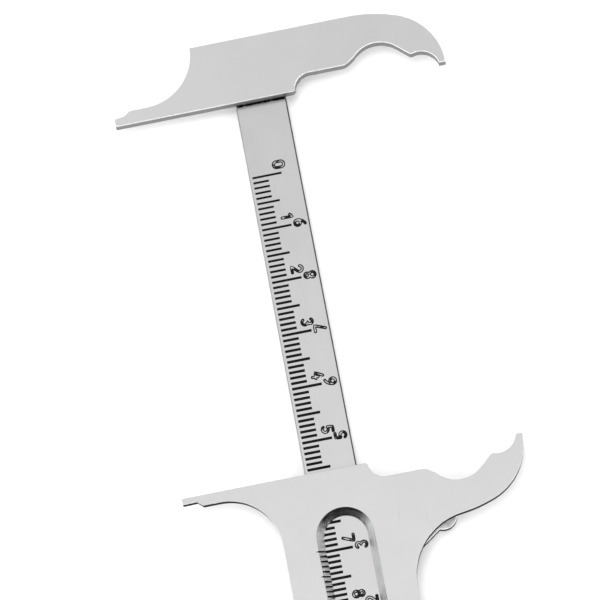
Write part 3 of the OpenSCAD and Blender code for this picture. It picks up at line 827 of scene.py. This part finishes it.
def studio_world(name, look):
    """A studio of light zones: the level depends on the heading alone"""
    world = bpy.data.worlds.new(name)
    world.use_nodes = True
    tree = world.node_tree
    heading = step(tree, "ShaderNodeTexCoord").outputs["Generated"]
    split = step(tree, "ShaderNodeSeparateXYZ", {0: heading}).outputs
    x, y, z = split["X"], split["Y"], split["Z"]
    # Near the floor: walls with a level each, where the right one is as dim as the front
    right = between(tree, x, -0.1, 0.1, look.sides, look.front)
    low_side = times(tree, times(tree, x, x), between(tree, z, 0.1, 0.3, right, look.sides))
    low_end = times(tree, times(tree, y, y), between(tree, y, -0.1, 0.1, look.front, look.back))
    low = sums(tree, "ADD", low_side, low_end)
    # Half way up: an even level with a bright ring, which the rounded rims mirror
    middle = between(tree, z, 0.52, 0.62)
    ring = times(tree, between(tree, z, 0.72, 0.76), between(tree, z, 0.84, 0.80))
    ring = times(tree, ring, between(tree, y, 0.20, 0.0, 0.0, look.ring))
    walls = times(tree, low, sums(tree, "SUBTRACT", 1.0, middle))
    even = sums(tree, "ADD", times(tree, middle, look.middle), walls)
    half_way = sums(tree, "ADD", ring, even)
    # Overhead: the sky that the faces mirror, dimmer towards the back and its right corner
    corner = times(tree, between(tree, x, -0.15, 0.20),
                   between(tree, y, 0.15, 0.40, 0.0, look.sky * look.corner_fall))
    whole = between(tree, y, 0.14, 0.24, look.sky, look.sky * (1 - look.sky_fall))
    sky = sums(tree, "SUBTRACT", whole, corner)
    top = between(tree, z, 0.80, 0.88)
    level = sums(tree, "ADD", times(tree, sky, top),
                 times(tree, half_way, sums(tree, "SUBTRACT", 1.0, top)))
    background = tree.nodes["Background"]
    tree.links.new(level, background.inputs["Strength"])
    background.inputs["Color"].default_value = (1, 1, 1, 1)
    return world


# Operators

class GaugeOperator:
    """What the operators share"""
    bl_options = {"REGISTER", "UNDO"}


class GAUGE_OT_beam(GaugeOperator, bpy.types.Operator):
    """Builds the beam with softened ends and black lines"""
    bl_idname = "gauge.beam"
    bl_label = "Beam"

    def execute(self, context):
        look = context.scene.gauge_finish
        beam = merged_copy("scale_beam", "graduated_beam")
        finish(beam,
               steel("Beam Steel", look.beam, look.satin, grain=(5200, 90, 500), cloud=0.007,
                     seed=1.3, contrast=0.03, rub_and_highlight=0.0, seam=0.0),
               filling_paint("Line Filling", look.filling),
               side_steel("Beam Edges Painted Shade", look.beam_left, look.beam_right, CHAMFER_SLANT),
               side_steel("Beam Sides Painted Shade", look.beam_side, look.beam_side, DARK_SLANT))
        smear_marks(beam.data.materials[0], look.filling, look.mark_narrow, look.mark_wide)
        marks_top, marks_end = ZERO_MARK + 0.4 * MM, ZERO_MARK - SCALE_LENGTH - 2 * MM
        border = BEAM_SIDE - CHAMFER - 0.05 * MM

        def engraved(centre, normal):
            """Whether a face is in a mark, below the beam's face"""
            return -MARK_DEPTH - 5 * SPECK < centre.z - BEAM_FACE < -4 * SPECK \
                and abs(centre.x) < border and marks_end < centre.y < marks_top

        def on_rim(middle):
            """Whether an edge is on a chamfer or at one of the beam's ends"""
            return abs(abs(middle.x) - BEAM_SIDE + CHAMFER / 2) < CHAMFER * 0.6 \
                or middle.y < BEAM_LOW.y + 2.5 * MM or middle.y > BEAM_HIGH.y - ON_LEVEL

        second_finish(beam, engraved, 1)
        soften(beam, look.small_edge, on_rim, steps=2, sharp=25)
        # The beam's chamfers take the steel in painted light and shade
        second_finish(beam, lambda centre, normal: abs(centre.x) > border
                      and 0.3 < normal.z < 0.85, 2)
        # The beam's upright sides take the steel in painted shade
        second_finish(beam, lambda centre, normal: abs(centre.x) > border
                      and abs(normal.z) <= 0.3, 3)
        smooth(beam)
        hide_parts("scale_beam")
        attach(beam, "beam")
        return {"FINISHED"}


class GAUGE_OT_numbers(GaugeOperator, bpy.types.Operator):
    """Builds the rising and the falling numbers beside the centimetre lines"""
    bl_idname = "gauge.numbers"
    bl_label = "Numbers"

    def execute(self, context):
        look = context.scene.gauge_numbers
        paint = context.scene.gauge_finish
        worn_filling("Filling With Painted Highlight", paint.filling, paint.worn)
        patterns = {figure: figure_piece(figure, look) for figure in "0123456789"}
        placed = []

        def put(figure, x, y, turn):
            """Lays a copy of one figure on the beam"""
            only(patterns[figure])
            bpy.ops.object.duplicate()
            copy = context.view_layer.objects.active
            copy.location = (x, y, BEAM_FACE)
            copy.rotation_euler = (0, 0, turn)
            placed.append(copy)

        last = round(SCALE_LENGTH / MARK_BLOCK)
        for block in range(last + 1):
            line = ZERO_MARK - block * MARK_BLOCK
            across = look.rising_x + (0 if block else look.zero_shift)
            for i, figure in enumerate(reversed(str(block))):
                put(figure, across, line + look.rising_y + i * look.pitch, -pi / 2)
            if block:
                put(str(last - block), look.falling_x, line + look.falling_y, pi / 2)
        only(*placed)
        bpy.ops.object.transform_apply(location=True, rotation=True, scale=True)
        bpy.ops.object.join()
        numbers = context.view_layer.objects.active
        numbers.name = numbers.data.name = "scale_numbers"
        only(*patterns.values())
        bpy.ops.object.delete()
        only(numbers)
        bpy.ops.object.shade_smooth()
        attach(numbers, "beam")
        return {"FINISHED"}


class GAUGE_OT_head(GaugeOperator, bpy.types.Operator):
    """Builds the head with the fixed jaws"""
    bl_idname = "gauge.head"
    bl_label = "Head"

    def execute(self, context):
        look = context.scene.gauge_finish
        head = merged_copy("fixed_jaw", "head_with_fixed_jaws")
        low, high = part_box("fixed_jaw")
        finish(head,
               steel("Head Steel", look.jaw, look.satin, grain=PLATE_GRAIN, cloud=0.012,
                     seed=4.1, contrast=0.02, rub_and_highlight=0.9, highlight_gain=1.4),
               side_steel("Head Sides Painted Shade", look.head_side, look.head_side, HEAD_SLANT))
        round_corners(head, look.notch_corner,
                      lambda middle: within(middle.x, NOTCH_SPAN) and middle.y < JAW_BACK)
        round_corners(head, look.corner,
                      lambda middle: within(middle.x, HOOK_SPAN) and middle.y < JAW_BACK)
        soften(head, look.edge,
               lambda middle: middle.z > high.z - ON_LEVEL or middle.z < low.z + ON_LEVEL
               and (middle.y < FACE_MARGIN or abs(middle.x) > OFF_BEAM), held=False)
        # The head's sides take the steel in painted shade
        second_finish(head, lambda centre, normal: abs(normal.z) < 0.2, 1)
        smooth(head)
        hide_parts("fixed_jaw")
        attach(head, "beam")
        return {"FINISHED"}


class GAUGE_OT_slider(GaugeOperator, bpy.types.Operator):
    """Builds the slider's front plate with its turned window and black vernier lines"""
    bl_idname = "gauge.slider"
    bl_label = "Slider plate"

    def execute(self, context):
        look = context.scene.gauge_finish
        low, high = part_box("slider_plate")

        def from_window(point):
            """How far a point is outside the window's middle line, seen from the front"""
            y = min(max(point.y, WINDOW_ENDS[0]), WINDOW_ENDS[1])
            return sqrt((point.x - WINDOW_MIDDLE) ** 2 + (point.y - y) ** 2)

        def bevel_reach(z):
            """Where the clean bevel is at a height"""
            rise = (z - low.z - WINDOW_LAND) / (high.z - low.z - WINDOW_LAND)
            return WINDOW_THROAT + (WINDOW_MOUTH - WINDOW_THROAT) * max(0.0, rise)

        def inside(centre):
            """Whether a face is in the window or in a vernier line"""
            return within(centre.z, (low.z + OFF_LEVEL, high.z - 2 * SPECK)) \
                and within(from_window(centre), (WINDOW_THROAT - 0.5 * MM, WINDOW_ROOM))

        def engraved(centre):
            """Whether a face is deeper than the clean bevel on the vernier's side"""
            return centre.x < WINDOW_MIDDLE \
                and from_window(centre) > bevel_reach(centre.z) + OFF_LEVEL

        def on_jaws(middle, span):
            """Whether an upright corner is on this span of the jaws"""
            return within(middle.x, span) and middle.y > SLIDING_JAW_END \
                and from_window(middle) > WINDOW_ROOM

        def on_rim(middle):
            """Whether an edge is on the outline, and on the back not over the rails"""
            return from_window(middle) > WINDOW_ROOM and (
                middle.z > high.z - ON_LEVEL
                or middle.z < low.z + ON_LEVEL and abs(middle.x) >= OFF_RAILS)

        plate = merged_copy("slider_plate", "slider_front_plate",
                            lambda centre, normal: not inside(centre) or abs(normal.y) > 0.02)
        finish(plate,
               steel("Slider Steel", look.slider, look.satin, grain=PLATE_GRAIN, cloud=0.010,
                     seed=7.7, contrast=0.035, rub_and_highlight=0.8),
               turned_steel("Turned Steel With Painted Shade", look.turned, look.turned_end),
               bpy.data.materials["Line Filling"],
               side_steel("Slider Sides Painted Shade", look.slider_side, look.slider_side, DARK_SLANT))
        second_finish(plate, lambda centre, normal: inside(centre) and abs(normal.z) < 0.9, 1)
        second_finish(plate, lambda centre, normal: inside(centre) and engraved(centre), 2)
        round_corners(plate, look.notch_corner, lambda middle: on_jaws(middle, NOTCH_SPAN))
        round_corners(plate, look.corner, lambda middle: on_jaws(middle, HOOK_SPAN))
        soften(plate, look.slider_edge, on_rim, held=False)
        # The slider plate's sides take the steel in painted shade
        second_finish(plate, lambda centre, normal: not inside(centre) and abs(normal.z) < 0.3, 3)
        smooth(plate, BEVEL_ANGLE)
        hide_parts("slider_plate")
        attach(plate, "slider")
        return {"FINISHED"}


class GAUGE_OT_back(GaugeOperator, bpy.types.Operator):
    """Finishes the back plate and the rails of the slider"""
    bl_idname = "gauge.back"
    bl_label = "Back plate and rails"

    def execute(self, context):
        look = context.scene.gauge_finish
        plain = steel("Plain Steel", look.plain, rough=0.36, grain=(4200, 120, 4200),
                      cloud=0.009, seed=11.9)
        low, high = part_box("back_plate")
        back = merged_copy("back_plate", "slider_back_plate")
        finish(back, plain)
        soften(back, look.edge * 0.8, lambda middle: middle.z < low.z + ON_LEVEL
               and (abs(middle.x) > OFF_HOLES
                    or not within(middle.y, (low.y + END_MARGIN, high.y - END_MARGIN))))
        smooth(back)
        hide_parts("back_plate")
        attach(back, "slider")
        for node in ("left_rail", "upper_right_rail", "lower_right_rail"):
            rail = merged_copy(node, node + "_finished")
            finish(rail, plain)
            soften(rail, look.small_edge, steps=2)
            smooth(rail)
            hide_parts(node)
            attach(rail, "slider")
        return {"FINISHED"}


class GAUGE_OT_screws(GaugeOperator, bpy.types.Operator):
    """Finishes the screws and the dowel pins"""
    bl_idname = "gauge.screws"
    bl_label = "Screws and pins"

    def execute(self, context):
        look = context.scene.gauge_finish
        metal = steel("Screw Steel", look.screw, rough=0.34, grain=(2600, 2600, 9000),
                      cloud=0.003, seed=17.1, contrast=0.14)
        for node, body in (("jaw_screws", "beam"), ("jaw_dowels", "beam"),
                           ("tail_stop_screw", "beam"), ("plate_screws", "slider"),
                           ("lever_pivot_screw", "slider")):
            screw = merged_copy(node, node + "_finished")
            finish(screw, metal)
            soften(screw, look.small_edge, steps=2)
            smooth(screw)
            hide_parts(node)
            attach(screw, body)
        return {"FINISHED"}


class GAUGE_OT_lever(GaugeOperator, bpy.types.Operator):
    """Builds the thumb lever with its roughened pad"""
    bl_idname = "gauge.lever"
    bl_label = "Thumb lever"

    def execute(self, context):
        look = context.scene.gauge_finish
        lever = merged_copy("thumb_lever", "thumb_lever_finished")
        finish(lever,
               steel("Lever Steel", look.lever, rough=0.42, grain=(1500, 1500, 1500),
                     cloud=0.0012, seed=23.3, contrast=0.30, rub_and_highlight=0.9, depth=0.02 * MM),
               side_steel("Lever Sides Painted Shade", look.lever_side, look.lever_side, DARK_SLANT))
        soften(lever, look.edge)
        # The lever's sides take the steel in painted shade
        second_finish(lever, lambda centre, normal: abs(normal.z) < 0.2, 1)
        smooth(lever)
        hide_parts("thumb_lever")
        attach(lever, "lever")
        return {"FINISHED"}


class GAUGE_OT_springs(GaugeOperator, bpy.types.Operator):
    """Finishes the leaf spring of the slider and the strip spring of the lever"""
    bl_idname = "gauge.springs"
    bl_label = "Springs"

    def execute(self, context):
        look = context.scene.gauge_finish
        metal = steel("Spring Steel", look.spring, rough=0.32, grain=(600, 600, 9000),
                      cloud=0.004, seed=31.7, contrast=0.15)
        for node, body in (("gib_spring", "slider"), ("lever_spring", "slider")):
            spring = merged_copy(node, node + "_finished")
            finish(spring, metal)
            soften(spring, look.small_edge, steps=2)
            smooth(spring)
            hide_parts(node)
            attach(spring, body)
        return {"FINISHED"}


class GAUGE_OT_stage(GaugeOperator, bpy.types.Operator):
    """Lays the floor and sets the light and the camera"""
    bl_idname = "gauge.stage"
    bl_label = "Floor, light and camera"

    def execute(self, context):
        look = context.scene.gauge_stage
        bpy.ops.object.select_all(action="DESELECT")
        bpy.ops.mesh.primitive_plane_add(size=look.floor_size, location=FLOOR_MIDDLE)
        floor = context.view_layer.objects.active
        floor.name = "floor"
        finish(floor, floor_paper("Pale Floor", look.floor, look.floor_glow))

        context.scene.world = studio_world("Soft Studio", look)

        bpy.ops.object.light_add(type="AREA", location=LAMP_PLACE)
        lamp = context.view_layer.objects.active
        lamp.name = "soft_lamp"
        lamp.data.energy = look.lamp
        lamp.data.size = look.lamp_size
        lamp.visible_glossy = False
        heading = Vector(LAMP_AIM) - lamp.location
        lamp.rotation_euler = heading.to_track_quat("-Z", "Y").to_euler()

        bpy.ops.object.camera_add(location=CAMERA_PLACE, rotation=CAMERA_TURN)
        camera = context.view_layer.objects.active
        camera.name = "camera"
        camera.data.sensor_width = SENSOR_WIDTH
        camera.data.lens = look.lens
        camera.data.clip_start = 0.01
        context.scene.camera = camera
        context.scene.view_settings.view_transform = "Standard"
        return {"FINISHED"}


class GAUGE_PT_panel(bpy.types.Panel):
    """Lists the steps that build the gauge, and their settings"""
    bl_idname = "GAUGE_PT_panel"
    bl_label = "Gauge"
    bl_space_type = "VIEW_3D"
    bl_region_type = "UI"
    bl_category = "Gauge"

    def draw(self, context):
        for owner, group in SETTINGS.items():
            box = self.layout.box()
            for name in group.__annotations__:
                box.prop(getattr(context.scene, owner), name)
        for step_class in STEPS:
            self.layout.operator(step_class.bl_idname)


STEPS = (GAUGE_OT_beam, GAUGE_OT_numbers, GAUGE_OT_head, GAUGE_OT_slider, GAUGE_OT_back,
         GAUGE_OT_screws, GAUGE_OT_lever, GAUGE_OT_springs, GAUGE_OT_stage)
SETTINGS = {"gauge_finish": GaugeFinish, "gauge_numbers": GaugeNumbers, "gauge_stage": GaugeStage}


def register():
    """Adds the settings, the operators and the panel"""
    for owner, group in SETTINGS.items():
        bpy.utils.register_class(group)
        setattr(bpy.types.Scene, owner, bpy.props.PointerProperty(type=group))
    for made in (*STEPS, GAUGE_PT_panel):
        bpy.utils.register_class(made)


def unregister():
    """Takes them away again"""
    for made in (GAUGE_PT_panel, *reversed(STEPS)):
        bpy.utils.unregister_class(made)
    for owner, group in SETTINGS.items():
        delattr(bpy.types.Scene, owner)
        bpy.utils.unregister_class(group)


def main():
    """Builds everything in order"""
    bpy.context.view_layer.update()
    register()
    for made in STEPS:
        area, name = made.bl_idname.split(".")
        getattr(getattr(bpy.ops, area), name)()


if __name__ == "__main__":
    main()
